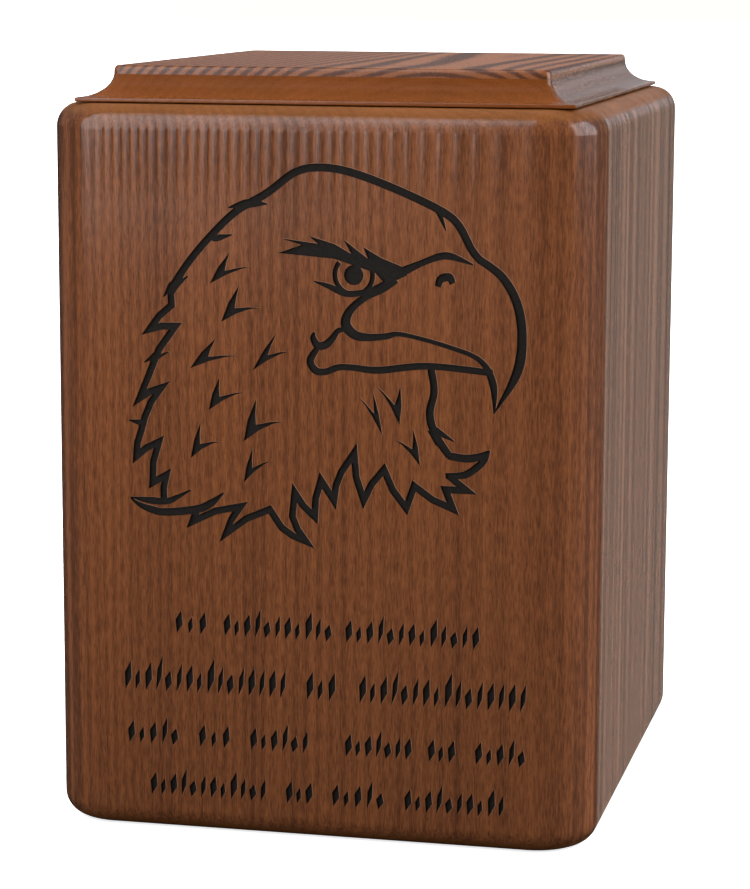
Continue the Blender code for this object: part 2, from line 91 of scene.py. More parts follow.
# Smooth lines of the eagle's head in hundredths of its height, as across, up and width
CROWN_LINE = ((-40.2, 67, 2.2), (-35.6, 74, 2.0), (-29.8, 80.9, 2.0), (-22.4, 88, 2.1),
              (-14, 93, 2.1), (-6.5, 98.5, 2.1), (0, 99.9, 2.1), (8, 98.9, 2.1), (19, 95.2, 2.1),
              (31, 90, 2.1), (36.4, 86.2, 2.1), (40.2, 79.6, 2.1), (42.8, 76.6, 2.0))
BEAK_RIDGE = ((42.2, 77.2, 2.0), (48.2, 72.8, 2.2), (52.2, 65.8, 2.4), (53.5, 57, 2.5),
              (52.2, 48, 2.5), (46.4, 37.4, 0.3))
CERE_LINE = ((22.4, 73.7, 2.4), (27.2, 75.9, 1.7), (31.9, 77.7, 1.9), (35.2, 77.7, 1.8),
             (40.6, 75.8, 0.4))
MOUTH_LINE = ((20.5, 71.4, 1.8), (16.8, 68.9, 2.0), (12.1, 66.5, 1.9), (8.2, 63, 2.2),
              (7.1, 59.4, 2.7), (9.6, 56.7, 2.5), (13.4, 56.2, 2.0), (17.7, 56.6, 1.7),
              (22.4, 57.2, 1.2), (35, 54.2, 1.2), (42.8, 51, 1.4), (46.1, 45, 2.0),
              (46.5, 37.4, 0.4))
GAPE_CURL = ((-1.3, 57.1, 0.6), (-1.6, 55.5, 1.7), (-0.3, 53.6, 2.1), (1.9, 54, 2.1),
             (3.7, 55.8, 1.8), (5, 57.6, 1.4), (7, 58.2, 1.4))
LOWER_BILL = ((-0.6, 52.8, 1.6), (-2.4, 49.6, 2.0), (-1, 47.1, 2.0), (1.6, 46.8, 1.8),
              (5.4, 48.1, 1.7), (9.6, 48.1, 1.7), (16, 47.7, 1.9), (29, 49.2, 1.8), (46, 48, 1.8))
NOSTRIL = ((31.4, 69.9, 1.6), (32.2, 71.9, 2.1), (34.4, 72.4, 2.1), (35.3, 70.8, 1.6))
LOWER_LID = ((-1.4, 70.4, 0.3), (2.6, 69.2, 1.4), (7.4, 67.4, 1.7), (13, 68.2, 1.6),
             (18, 70.4, 1.8))
THROAT_LINE = ((29.8, 48.4, 2.0), (30.6, 42.6, 2.0), (29.5, 36.8, 2.1), (31, 31.4, 2.2),
               (34.8, 25.8, 2.0))
BEARD_TOP = ((34.4, 26, 2.0), (39, 25.4, 2.1), (42.6, 26, 1.9), (45.2, 27.6, 0.5))
BEARD_FOOT = ((33.8, 20.6, 1.5), (38.6, 21, 1.9), (41.6, 22.8, 2.0), (44, 25.2, 1.8),
              (45.3, 27.8, 0.5))
CORNER_TOP = ((-51.8, 11.2, 0.3), (-46.5, 10.6, 1.8), (-41.6, 10.6, 1.8), (-38.4, 12, 1.2),
              (-35, 13.9, 0.3))
CORNER_FOOT = ((-51.8, 11, 0.3), (-49.4, 9.4, 1.3), (-46.5, 8.3, 1.9), (-42.3, 7.6, 2.1),
               (-33.6, 8.7, 2.2), (-29.4, 10.6, 2.0), (-26, 13.5, 0.4))

# Barbs that leave a line, in the same way
BARBS = (
    ((-24.4, 89, 0.3), (-19, 90.2, 2.4), (-13.8, 90.2, 0.3)),
    ((-29.6, 81, 0.6), (-27.6, 81, 1.8), (-23.4, 82, 0.3)),
    ((31.4, 89.6, 1.8), (33.4, 84.4, 0.3)),
    ((-40.4, 66.4, 2.4), (-38, 68.8, 1.4), (-35.4, 70.8, 0.3)),
    ((-39.6, 68.6, 2.2), (-42.2, 65.2, 0.3)),
    ((-43.4, 50.4, 2.2), (-47.6, 47.6, 0.3)),
    ((-46, 48, 1.8), (-41, 50.6, 0.3)),
    ((-47.4, 31.2, 2.4), (-52, 32, 0.3)),
    ((31, 32.4, 2.2), (36, 29.8, 0.3)),
    ((32, 29, 2.0), (29, 32.4, 0.3)),
)

# Corners of the ragged back of the neck and of its hem, as across and up
NAPE_CORNERS = ((-40.2, 67), (-40, 63), (-46, 56.5), (-39, 57.5), (-46.5, 44), (-49, 38),
                (-43, 41), (-47.6, 33), (-48.6, 29.4), (-50, 22.4), (-43.8, 26.4), (-45.6, 15.4),
                (-41.8, 17.6), (-42.5, 10.8))
HEM_CORNERS = ((-33.2, 9), (-34.6, 5.4), (-21.4, 10), (-25.4, 2.6), (-13.4, 9.6), (-10.2, 4.9),
               (-3.6, 1.5), (-7.3, 8), (-6.6, 14.4), (-1.2, 8.2), (0.5, 18), (4, 12.8), (6, 20.5),
               (9.4, 25.6), (12, 13.2), (17.4, 21.6), (23.4, 11.6), (25.5, 17.6), (35.8, 12),
               (33.8, 17), (39.4, 17), (34.6, 20.7))
RAGGED_WIDTH = 1.9
LEG_BOW = 0.06
LEAST_BOWED = 6.5
# Least cosine of half a turn, so that no mitre is drawn out into a spike
LEAST_MITRE = 0.3

# Brow: outline with ragged tips, as across and up
BROW = ((23.4, 72.6), (21.8, 74.9), (16.8, 76.8), (11.7, 79.6), (12.9, 76.7), (6.5, 81.4),
        (8.5, 77.8), (4.1, 80.2), (-2.8, 82.2), (-0.4, 80.2), (-10.4, 81.4), (-4.8, 79.8),
        (-11, 77.5), (-1.4, 76.8), (4, 76.4), (14.9, 73), (17.8, 70))
EYE_CENTRE = (9.2, 72.3)
EYE_RADIUS = 5.0
EYE_LINE = 1.3
EYE_START = 140
EYE_END = 395
PUPIL_RADIUS = 2.6

# Small feathers: corner across and up, then length and lean of the upright and of the low arm
FLICKS = (
    (-29.5, 69, 10.0, 33, 12.4, 67),
    (-26.5, 59, 11.0, 27, 11.2, 69),
    (-35, 46.5, 10.8, 41, 13.6, 74),
    (-18, 46.5, 12.2, 33, 11.4, 62),
    (-30, 35.5, 9.2, 19, 11.0, 62),
    (-20.5, 27.5, 12.0, 17, 12.2, 62),
    (-35, 22.5, 10.0, 16, 9.4, 60),
    (-20.5, 16.5, 9.6, 15, 9.8, 51),
    (17, 30.5, 12.6, -13, 12.0, -33),
    (21.5, 33.5, 10.4, 1, 12.0, -32),
    (27, 23, 10.0, -11, 9.6, -46),
)
# Shape of a small feather, as shares of its upright arm and of its low arm
FLICK_SHAPE = ((0.0, 0.0), (0.09, 0.36), (0.08, 0.70), (0.0, 1.0), (0.15, 0.66), (0.29, 0.22),
               (0.62, 0.10), (1.0, 0.0), (0.55, -0.07))

# Rows of the inscription: baseline above the foot, height of a stroke, and the left and
# right end of each word, all in metres
INSCRIPTION = (
    (0.0610, 0.0070, ((-0.043, -0.032), (-0.028, 0.006), (0.009, 0.050))),
    (0.0430, 0.0088, ((-0.059, -0.008), (-0.003, 0.007), (0.013, 0.064))),
    (0.0266, 0.0070, ((-0.058, -0.041), (-0.036, -0.025), (-0.020, -0.001), (0.009, 0.030),
                      (0.034, 0.043), (0.048, 0.064))),
    (0.0110, 0.0070, ((-0.051, -0.014), (-0.009, 0.000), (0.005, 0.022), (0.027, 0.058))),
)
STROKE_PITCH = 0.0032
STROKE_WIDTH = 0.0025
STROKE_SLANT = 0.2
STROKE_SHOULDER = 0.4
STROKE_INSET = 0.35
STROKE_VARIETY = 0.25
STROKE_THINNING = 0.3


def from_screen(red, green, blue):
    """A linear colour from the 0 to 255 values that a screen shows."""
    return tuple(((v / 255 + 0.055) / 1.055) ** 2.4 if v > 10 else v / 255 / 12.92
                 for v in (red, green, blue))


def metres(name, description, default, least=0.001):
    """A setting in metres."""
    return FloatProperty(name=name, description=description, default=default, min=least,
                         unit="LENGTH")


def whole(name, description, default, least):
    """A setting that counts facets or steps."""
    return IntProperty(name=name, description=description, default=default, min=least)


def stain(name, description, red, green, blue):
    """A colour setting, from the values that a screen shows."""
    return FloatVectorProperty(name=name, description=description, subtype="COLOR",
                               default=from_screen(red, green, blue))


def weight(name, description, default):
    """A setting from 0 to 1."""
    return FloatProperty(name=name, description=description, default=default, min=0.0, max=1.0)


def brightness(name, description, default):
    """A setting for an amount of light."""
    return FloatProperty(name=name, description=description, default=default, min=0.0)


def bearing(name, description, degrees):
    """A setting for an angle, given in degrees."""
    return FloatProperty(name=name, description=description, subtype="ANGLE",
                         default=math.radians(degrees))


def location(name, description, *point):
    """A setting for a place in the room."""
    return FloatVectorProperty(name=name, description=description, subtype="TRANSLATION",
                               unit="LENGTH", default=point)


class UrnCaseSizes(bpy.types.PropertyGroup):
    """Sizes of the hollow case that the frame's box doesn't give."""
    wall: metres("Wall", "Thickness of the boards", 0.019)
    corner_radius: metres("Corner radius", "Radius of the upright edges", 0.019)
    top_radius: metres("Top radius", "Radius of the top edge", 0.0072)
    foot_radius: metres("Foot radius", "Radius of the foot edge", 0.007)
    ledge: metres("Ledge", "Width of the ledge that the base panel bears on", 0.009)
    corner_facets: whole("Corner facets", "Facets on an upright edge", 28, 4)
    edge_facets: whole("Edge facets", "Facets on the top and foot edges", 14, 4)


class UrnPlateSizes(bpy.types.PropertyGroup):
    """Sizes of the moulded top plate."""
    lip: metres("Lip", "Height of the thin lip under the cove", 0.0012, 0.0002)
    cove_width: metres("Cove width", "Width of the cove, seen from above", 0.0089)
    cove_height: metres("Cove height", "Height of the cove", 0.0072)
    arris_width: metres("Arris width", "Width of the rounded top arris", 0.0009, 0.0001)
    arris_height: metres("Arris height", "Height of the rounded top arris", 0.0020, 0.0001)
    eased: metres("Eased edge", "Radius of the lip's arrises", 0.00035, 0.00005)
    lip_corner: metres("Lip corner", "Radius of the lip's four corners", 0.0005, 0.0001)
    top_corner: metres("Top corner", "Radius of the top face's four corners", 0.0024, 0.0001)
    cove_facets: whole("Cove facets", "Facets across the cove", 32, 4)
    arris_facets: whole("Arris facets", "Facets round an arris or a corner", 8, 2)


class UrnEngravingSizes(bpy.types.PropertyGroup):
    """Sizes of the engraved grooves."""
    depth: metres("Depth", "Depth of a groove below the front", 0.001, 0.0001)
    # The shoulder is the width of the painted highlight, a pale line up and right of a groove
    shoulder: metres("Shoulder", "Width of the bare line up and right of a groove", 0.00016, 0.0)
    eagle_height: metres("Eagle height", "Height of the eagle's head", 0.111, 0.01)
    eagle_below_top: metres("Below the top", "Eagle's crown below the case's top", 0.0169, 0.0)
    eagle_shift: metres("Shift", "Eagle to the right of the middle", 0.0018, -0.05)
    line_steps: whole("Line steps", "Steps between two points of a line", 10, 2)


class UrnFinish(bpy.types.PropertyGroup):
    """Colours and gloss of the finishes, and the colour of the painted highlight beside the
    grooves.
    """
    wood_light: stain("Light wood", "Early wood under the stain", 136, 81, 47)
    wood_dark: stain("Dark wood", "Late wood under the stain", 84, 48, 29)
    edge_wood: stain("End grain", "Sanded end grain, warmer and duller", 120, 71, 34)
    routed_wood: stain("Routed end grain", "End grain in the plate's coves", 119, 64, 25)
    pore: stain("Pores", "Stain held in the pores", 62, 34, 22)
    fill: stain("Fill", "Paint in the engraving", 30, 26, 22)
    # Painted highlight: pale colour of the line up and right of each groove, standing in for light
    # caught by the groove's edge
    bare_wood_and_highlight: stain("Bare line", "Bare wood beside a groove", 164, 120, 94)
    inner: stain("Inner wood", "Unfinished wood inside the case", 176, 132, 92)
    panel: stain("Panel", "Thinly sealed base panel", 128, 82, 56)
    brass: FloatVectorProperty(name="Brass", description="Screws of the base panel",
                               subtype="COLOR", default=(0.55, 0.39, 0.16))
    coat: weight("Lacquer", "Weight of the lacquer coat", 1.0)
    dull_coat: weight("Dull lacquer", "Weight of the lacquer left on end grain", 0.25)
    routed_coat: weight("Routed lacquer", "Weight of the lacquer in the routed coves", 0.08)
    top_coat: weight("Top lacquer", "Weight of the lacquer on the plate's top", 0.22)
    coat_roughness: weight("Lacquer roughness", "Roughness of the lacquer", 0.12)


class UrnStage(bpy.types.PropertyGroup):
    """Floor, camera and lights."""
    floor_size: metres("Floor", "Width of the floor", 24.0, 1.0)
    lens: FloatProperty(name="Lens", description="Focal length of the camera in millimetres",
                        default=117.04, min=10.0)
    eye: location("Eye", "Place of the camera", 0.20156, -0.89909, 0.25824)
    yaw: bearing("Yaw", "Turn of the camera to the left of straight on", 12.829)
    pitch: bearing("Pitch", "Tilt of the camera below level", 9.494)
    roll: bearing("Roll", "Turn of the camera about its line of sight", 0.2138)
    room_front: brightness("Room in front", "Soft light from the room in front", 0.14)
    room_top: brightness("Room above", "Extra soft light from the ceiling", 1.2)
    room_back: brightness("Room behind", "Soft light from the room behind", 0.95)
    left_box: brightness("Left softbox", "Brightness of the softbox on the left", 3.45)
    right_box: brightness("Right softbox", "Brightness of the softbox on the right", 4.0)
    left_wall: brightness("Left wall", "Soft light from the left", 5.6)
    right_wall: brightness("Right wall", "Soft light from the right", 7.3)
    low_wall: brightness("Low wall", "Brightness behind the urn, below its top", 0.215)
    high_wall: brightness("High wall", "Brightness behind the urn, above its top", 0.40)
    key: brightness("Key", "Power of the lamp in front, in watts", 0.89)
    key_size: metres("Key size", "Width of the lamp in front", 0.25, 0.01)
    key_place: location("Key place", "Place of the lamp in front", -0.025, -0.40, 0.235)
    floor_glow: brightness("Floor glow", "Light that the floor adds for the camera", 0.7)


class Shader:
    """Short ways to add nodes to one node tree, and to set its surface or background."""

    def __init__(self, tree, surface):
        self.tree = tree
        self.surface = surface

    def set(self, name, value):
        """Link an input of the surface or background to an output, or set its value."""
        self.put(self.surface.inputs[name], value)

    def put(self, socket, value):
        """Link a socket to an output, or set its value."""
        if isinstance(value, bpy.types.NodeSocket):
            self.tree.links.new(value, socket)
        elif value is not None:
            socket.default_value = value

    def add(self, kind, inputs=(), **settings):
        """A new node with its settings, and its inputs by name or number."""
        node = self.tree.nodes.new(kind)
        for name, value in settings.items():
            setattr(node, name, value)
        for name, value in dict(inputs).items():
            self.put(node.inputs[name], value)
        return node

    def maths(self, operation, first, second=None, third=None, clamp=False):
        """One step of arithmetic."""
        node = self.add("ShaderNodeMath", operation=operation, use_clamp=clamp)
        for socket, value in zip(node.inputs, (first, second, third)):
            self.put(socket, value)
        return node.outputs[0]

    def times(self, first, second, plus=None, clamp=False):
        """A product, and what is added to it."""
        operation = "MULTIPLY" if plus is None else "MULTIPLY_ADD"
        return self.maths(operation, first, second, plus, clamp)

    def ramp(self, value, low, high, to_low=0.0, to_high=1.0, smooth=True):
        """A value taken from one range to another, held at both ends."""
        node = self.add("ShaderNodeMapRange", clamp=True,
                        interpolation_type="SMOOTHSTEP" if smooth else "LINEAR")
        for socket, number in zip(node.inputs, (value, low, high, to_low, to_high)):
            self.put(socket, number)
        return node.outputs[0]

    def mix(self, share, first, second):
        """Two colours mixed by a share."""
        node = self.add("ShaderNodeMix", data_type="RGBA")
        self.put(node.inputs[0], share)
        self.put(node.inputs[6], (*first, 1.0) if isinstance(first, tuple) else first)
        self.put(node.inputs[7], (*second, 1.0) if isinstance(second, tuple) else second)
        return node.outputs[2]

    def choose(self, share, first, second):
        """One of two numbers, or a mix of them."""
        node = self.add("ShaderNodeMix", data_type="FLOAT")
        for socket, value in zip(node.inputs[:1] + node.inputs[2:4], (share, first, second)):
            self.put(socket, value)
        return node.outputs[0]

    def join(self, x, y, z):
        """A vector from three numbers."""
        return self.add("ShaderNodeCombineXYZ", {0: x, 1: y, 2: z}).outputs[0]

    def noise(self, place, scale, detail=1.0, roughness=0.5):
        """Soft noise between 0 and 1, scaled by its own amount along each axis, per metre."""
        spread = self.add("ShaderNodeVectorMath", operation="MULTIPLY")
        self.put(spread.inputs[0], place)
        spread.inputs[1].default_value = scale
        inputs = {"Vector": spread.outputs[0], "Scale": 1.0, "Detail": detail,
                  "Roughness": roughness}
        return self.add("ShaderNodeTexNoise", inputs).outputs[0]

    def bump(self, name, settings, height):
        """Small relief from a height, on a normal input of the surface."""
        self.set(name, self.add("ShaderNodeBump", {**settings, "Height": height}).outputs[0])


def new_material(name):
    """A node material, and a shader to add nodes to it."""
    material = bpy.data.materials.new(name)
    material.use_nodes = True
    return material, Shader(material.node_tree, material.node_tree.nodes["Principled BSDF"])


def object_place(shader):
    """The point's place in the object's own frame, as three numbers and as a vector."""
    place = shader.add("ShaderNodeTexCoord").outputs["Object"]
    parts = shader.add("ShaderNodeSeparateXYZ", {0: place}).outputs
    return parts[0], parts[1], parts[2], place


def facing_up(shader):
    """How much the surface faces up or down, from 0 to 1."""
    normal = shader.add("ShaderNodeTexCoord").outputs["Normal"]
    parts = shader.add("ShaderNodeSeparateXYZ", {0: normal}).outputs
    return shader.maths("ABSOLUTE", parts[2])


# Noise of the wood per metre: across a board, into it and along it
DRIFT_GRAIN = (30.0, 30.0, 4.0)
BAND_GRAIN = (80.0, 80.0, 2.5)
LINE_GRAIN = (170.0, 170.0, 1.2)
STREAK_GRAIN = (330.0, 330.0, 3.0)
RIDGE_GRAIN = (430.0, 430.0, 9.0)
STRIPE_GRAIN = (640.0, 640.0, 7.0)
FIBRE_GRAIN = (2000.0, 2000.0, 230.0)
PORE_GRAIN = (2600.0, 2600.0, 260.0)
SCRATCH_GRAIN = (70.0, 70.0, 3400.0)
NOISE_MIDDLE = (0.3, 0.7)
PORE_EDGE = (0.60, 0.72)
FIBRE_BREAKUP = 0.6

# Year rings: their pitch, how far they wander and how sharp they are
RING_PITCH = 0.0027
RING_DRIFT = 0.006
RING_EDGE = (-0.8, 1.0)

# Heart of the tree, across each board and behind its face, and numbers that set boards apart
FRONT_HEART, SIDE_HEART, CASE_HEART_DEPTH = 0.075, -0.120, 0.060
PLATE_HEART = (0.030, 0.075)
PLAIN_HEART = (0.02, 0.08)
BOARD_STEP = 0.61
SIDE_BOARDS, PLATE_BOARD, PLAIN_BOARD = 4.0, 9.0, 14.0

# How much each part of the figure darkens the wood, from a start below none
TONE_START = -1.25
FIBRE_TONE = 1.9
STRIPE_TONE = 0.5
RING_TONE = 0.20
BAND_TONE = 0.9
PORE_TONE = 0.55
END_LIGHT, END_DARK = 1.15, 0.78

# Lacquer: what rings and bands take from its weight, the wood's own gloss, and the bumps
COAT_START, RING_COAT, BAND_COAT = 1.06, -0.16, -0.25
COAT_IOR = 1.5
WOOD_SPECULAR = 0.05
WOOD_ROUGHNESS = (0.42, 0.6)
FIBRE_RELIEF, PORE_RELIEF = 0.3, -0.6
GRAIN_BUMP = {"Strength": 0.2, "Distance": 0.0001}
RIDGE_BUMP = {"Strength": 1.0, "Distance": 0.0002}

# Case: how far the surface faces up at the start of end grain and where it is full, how deep
# the darker streaks of the front's corners reach, and the lines of the side boards
END_GRAIN_TURN = (0.47, 0.72)
CORNER_FADE = (0.005, 0.015, 1.0, 0.0)
STREAK_TONE = (2.0, -0.85)
SIDE_LINE_TONE = (3.4, -1.7)
SIDE_LINE_COAT = (-0.5, 0.95)

# Ridges in the lacquer below the top edge: where they swell under its rounding and how much,
# what is left of them from left to right, and what the rounding, the sides and the corners take
SWELL_START, SWELL_END = 0.022, 0.001
SWELL_RANGE = (0.08, 0.95)
SWELL_ACROSS = (-0.045, 0.045, 1.0, 0.5)
ROUNDING_START, ROUNDING_END = 0.0002, 0.0010
ROUNDING_LOSS, SIDE_LOSS, CORNER_LOSS = -0.85, -0.8, -0.8
SWELL_TONE = 0.4
RING_RIDGE, WAVE_RIDGE, SCRATCH_RIDGE = 0.6, 0.45, 0.16

# Plate: where the routed cove starts under the arris and ends over the lip, where its end grain
# turns dull past the mitre, the rings on its top, and where the top's thin coat grows full
UNDER_ARRIS = (0.0004, 0.0007)
OVER_LIP = (0.0001, 0.0005)
PAST_MITRE = (0.0010, 0.0018)
TOP_RING_TONE = (1.1, -0.5)
TOP_EDGE = (0.0001, 0.0007)
PLATE_RIDGE = 0.12

# Unlacquered wood
PLAIN_DARK = 0.55
PLAIN_SPREAD = 0.15
PLAIN_BUMP = {"Strength": 0.35, "Distance": 0.0002}

# Engraving and screws: how dark their specks are, the specks per metre, roughness and bump
FILL_DARK, FILL_GRAIN, FILL_ROUGHNESS = 0.5, (2600.0, 2600.0, 2600.0), (0.5, 0.75)
FILL_BUMP, FILL_SPECULAR = {"Strength": 0.4, "Distance": 0.0001}, 0.2
# The painted highlight beside the grooves: how dark its specks are, the specks per metre,
# roughness and bump
HIGHLIGHT_DARK, HIGHLIGHT_GRAIN, HIGHLIGHT_ROUGHNESS = 0.7, (1500.0, 1500.0, 300.0), (0.45, 0.6)
HIGHLIGHT_BUMP = {"Strength": 0.3, "Distance": 0.00005}
BRASS_DARK, BRASS_GRAIN, BRASS_ROUGHNESS = 0.55, (900.0, 900.0, 900.0), (0.25, 0.45)


def wood_figure(shader, across, depth, along, heart, number):
    """Rings, stripes, fibres, pores and broad bands of a straight-grained board, each 0 to 1.

    The heart is the middle of the tree, across the board and behind its face."""
    board = shader.join(shader.times(number, BOARD_STEP, across), depth, along)
    away = shader.maths("SUBTRACT", across, heart[0])
    below = shader.maths("SUBTRACT", depth, heart[1])
    radius = shader.maths("SQRT", shader.times(away, away, shader.times(below, below)))
    radius = shader.times(shader.noise(board, DRIFT_GRAIN), RING_DRIFT, radius)
    wave = shader.maths("SINE", shader.times(radius, math.tau / RING_PITCH))
    return {"rings": shader.ramp(wave, *RING_EDGE),
            "stripes": shader.noise(board, STRIPE_GRAIN),
            "fibre": shader.noise(board, FIBRE_GRAIN, 2.0, FIBRE_BREAKUP),
            "pores": shader.ramp(shader.noise(board, PORE_GRAIN), *PORE_EDGE),
            "bands": shader.noise(board, BAND_GRAIN),
            "board": board}


def wood_tone(shader, figure):
    """How dark the wood is at a point, from its figure."""
    tone = shader.times(figure["fibre"], FIBRE_TONE, TONE_START)
    tone = shader.times(figure["stripes"], STRIPE_TONE, tone)
    tone = shader.times(figure["rings"], RING_TONE, tone)
    return shader.times(figure["bands"], BAND_TONE, tone)


def shaded(colour, share):
    """A colour made darker or lighter."""
    return tuple(value * share for value in colour)


def stain_wood(shader, finish, figure, end_grain, end_wood, streaks):
    """Give the surface the colours of stained wood, warmer where the end grain shows."""
    tone = shader.maths("ADD", wood_tone(shader, figure), streaks)
    colour = shader.mix(tone, tuple(finish.wood_light), tuple(finish.wood_dark))
    colour = shader.mix(shader.times(figure["pores"], PORE_TONE), colour, tuple(finish.pore))
    ends = shader.mix(tone, shaded(end_wood, END_LIGHT), shaded(end_wood, END_DARK))
    shader.set("Base Color", shader.mix(end_grain, colour, ends))


def lacquer(shader, finish, figure, gloss, ridges):
    """Lacquer over the wood: a clear coat with its own ridges, over a dull base."""
    patchy = shader.times(figure["rings"], RING_COAT, COAT_START)
    patchy = shader.times(figure["bands"], BAND_COAT, patchy)
    shader.set("Coat Weight", shader.times(gloss, patchy, clamp=True))
    shader.set("Coat Roughness", finish.coat_roughness)
    shader.set("Coat IOR", COAT_IOR)
    shader.set("Specular IOR Level", WOOD_SPECULAR)
    shader.set("Roughness", shader.ramp(figure["fibre"], *NOISE_MIDDLE, *WOOD_ROUGHNESS,
                                        smooth=False))
    grain = shader.times(figure["fibre"], FIBRE_RELIEF, shader.times(figure["pores"], PORE_RELIEF))
    shader.bump("Normal", GRAIN_BUMP, grain)
    shader.bump("Coat Normal", RIDGE_BUMP, ridges)


def case_wood(finish, sizes):
    """Stained wood of the case: boards with upright grain, the front and back ones full width."""
    material, shader = new_material("case_walnut")
    x, y, z, _ = object_place(shader)
    behind_x = shader.maths("SUBTRACT", CASE_WIDTH / 2, shader.maths("ABSOLUTE", x))
    behind_y = shader.maths("SUBTRACT", CASE_DEPTH / 2, shader.maths("ABSOLUTE", y))
    is_side = shader.maths("GREATER_THAN", behind_y, sizes.wall)
    depth = shader.choose(is_side, behind_y, behind_x)
    across = shader.choose(is_side, x, y)
    number = shader.choose(is_side, shader.maths("SIGN", y),
                           shader.maths("ADD", shader.maths("SIGN", x), SIDE_BOARDS))
    heart = (shader.choose(is_side, FRONT_HEART, SIDE_HEART), CASE_HEART_DEPTH)
    figure = wood_figure(shader, across, depth, z, heart, number)
    board = figure["board"]

    end_grain = shader.ramp(facing_up(shader), *END_GRAIN_TURN)
    corner = shader.choose(is_side, shader.ramp(behind_x, *CORNER_FADE), 0.0)
    tangent = CASE_HEIGHT - sizes.top_radius
    swell = shader.ramp(z, tangent - SWELL_START, tangent - SWELL_END, *SWELL_RANGE)
    swell = shader.times(swell, shader.ramp(x, *SWELL_ACROSS))
    turn = shader.ramp(z, tangent - ROUNDING_START, tangent + ROUNDING_END)
    swell = shader.times(swell, shader.times(turn, ROUNDING_LOSS, 1.0))
    swell = shader.times(swell, shader.times(is_side, SIDE_LOSS, 1.0))

    streaks = shader.times(shader.noise(board, STREAK_GRAIN), *STREAK_TONE)
    lines = shader.times(shader.noise(board, LINE_GRAIN), *SIDE_LINE_TONE)
    streaks = shader.choose(is_side, shader.times(streaks, corner), lines)
    streaks = shader.times(shader.times(swell, figure["rings"]), SWELL_TONE, streaks)
    stain_wood(shader, finish, figure, end_grain, tuple(finish.edge_wood), streaks)

    gloss = shader.ramp(end_grain, 0.0, 1.0, finish.coat, finish.dull_coat, smooth=False)
    gloss = shader.times(gloss, shader.times(shader.times(is_side, lines), *SIDE_LINE_COAT))
    waves = shader.times(shader.noise(board, RIDGE_GRAIN), WAVE_RIDGE)
    waves = shader.times(figure["rings"], RING_RIDGE, waves)
    ridges = shader.times(waves, shader.times(swell, shader.times(corner, CORNER_LOSS, 1.0)))
    scratches = shader.times(shader.noise(board, SCRATCH_GRAIN), turn)
    ridges = shader.times(scratches, SCRATCH_RIDGE, ridges)
    lacquer(shader, finish, figure, gloss, ridges)
    return material


def plate_wood(finish, sizes):
    """Stained wood of the top plate: one board with its grain from front to back."""
    material, shader = new_material("plate_walnut")
    x, y, z, _ = object_place(shader)
    depth = shader.maths("SUBTRACT", PLATE_HIGH[2], z)
    figure = wood_figure(shader, x, depth, y, PLATE_HEART, PLATE_BOARD)
    over_x = shader.maths("SUBTRACT", shader.maths("ABSOLUTE", x), PLATE_HALF_X)
    over_y = shader.maths("SUBTRACT", shader.maths("ABSOLUTE", y), PLATE_HALF_Y)
    past_mitre = shader.maths("SUBTRACT", over_y, over_x)
    lip_top = PLATE_LOW[2] + sizes.lip
    below_arris = shader.ramp(depth, *(sizes.arris_height + reach for reach in UNDER_ARRIS))
    routed = shader.times(below_arris, shader.ramp(z, *(lip_top + reach for reach in OVER_LIP)))
    end_grain = shader.times(shader.maths("GREATER_THAN", past_mitre, 0.0), below_arris)
    dull = shader.times(shader.ramp(past_mitre, *PAST_MITRE), routed)
    streaks = shader.times(shader.times(figure["rings"], *TOP_RING_TONE),
                           shader.maths("SUBTRACT", 1.0, below_arris))
    stain_wood(shader, finish, figure, end_grain, tuple(finish.routed_wood), streaks)
    sheen = shader.ramp(depth, *TOP_EDGE, finish.top_coat, finish.coat)
    ridges = shader.times(shader.noise(figure["board"], RIDGE_GRAIN), PLATE_RIDGE)
    gloss = shader.choose(dull, sheen, finish.routed_coat)
    lacquer(shader, finish, figure, gloss, ridges)
    return material


def plain_wood(name, colour, roughness):
    """Bare or thinly sealed wood."""
    material, shader = new_material(name)
    x, y, z, _ = object_place(shader)
    figure = wood_figure(shader, x, z, y, PLAIN_HEART, PLAIN_BOARD)
    tone = wood_tone(shader, figure)
    shader.set("Base Color", shader.mix(tone, colour, shaded(colour, PLAIN_DARK)))
    shader.set("Roughness", shader.ramp(figure["fibre"], *NOISE_MIDDLE, roughness,
                                        roughness + PLAIN_SPREAD))
    shader.bump("Normal", PLAIN_BUMP, shader.maths("SUBTRACT", figure["fibre"], figure["pores"]))
    return material


def speckled(name, colour, dark, grain, detail, roughness, bump=None):
    """A material with fine darker specks that change its roughness too, and may stand out."""
    material, shader = new_material(name)
    speckle = shader.noise(object_place(shader)[3], grain, detail)
    shader.set("Base Color", shader.mix(speckle, colour, shaded(colour, dark)))
    shader.set("Roughness", shader.ramp(speckle, *NOISE_MIDDLE, *roughness))
    if bump:
        shader.bump("Normal", bump, speckle)
    return material, shader


def groove_fill(finish):
    """Black paint on the floor and the walls of the grooves."""
    material, shader = speckled("engraving_fill", tuple(finish.fill), FILL_DARK, FILL_GRAIN, 3.0,
                                FILL_ROUGHNESS, FILL_BUMP)
    shader.set("Specular IOR Level", FILL_SPECULAR)
    return material


def painted_highlight_line(finish):
    """A painted highlight: pale speckled colour on the line beside a groove, standing in for light
    caught by its edge.
    """
    return speckled("engraving_painted_highlight", tuple(finish.bare_wood_and_highlight), HIGHLIGHT_DARK, HIGHLIGHT_GRAIN, 2.0,
                    HIGHLIGHT_ROUGHNESS, HIGHLIGHT_BUMP)[0]


def screw_brass(finish):
    """Satin brass with a little tarnish."""
    material, shader = speckled("screw_brass", tuple(finish.brass), BRASS_DARK, BRASS_GRAIN, 3.0,
                                BRASS_ROUGHNESS)
    shader.set("Metallic", 1.0)
    return material


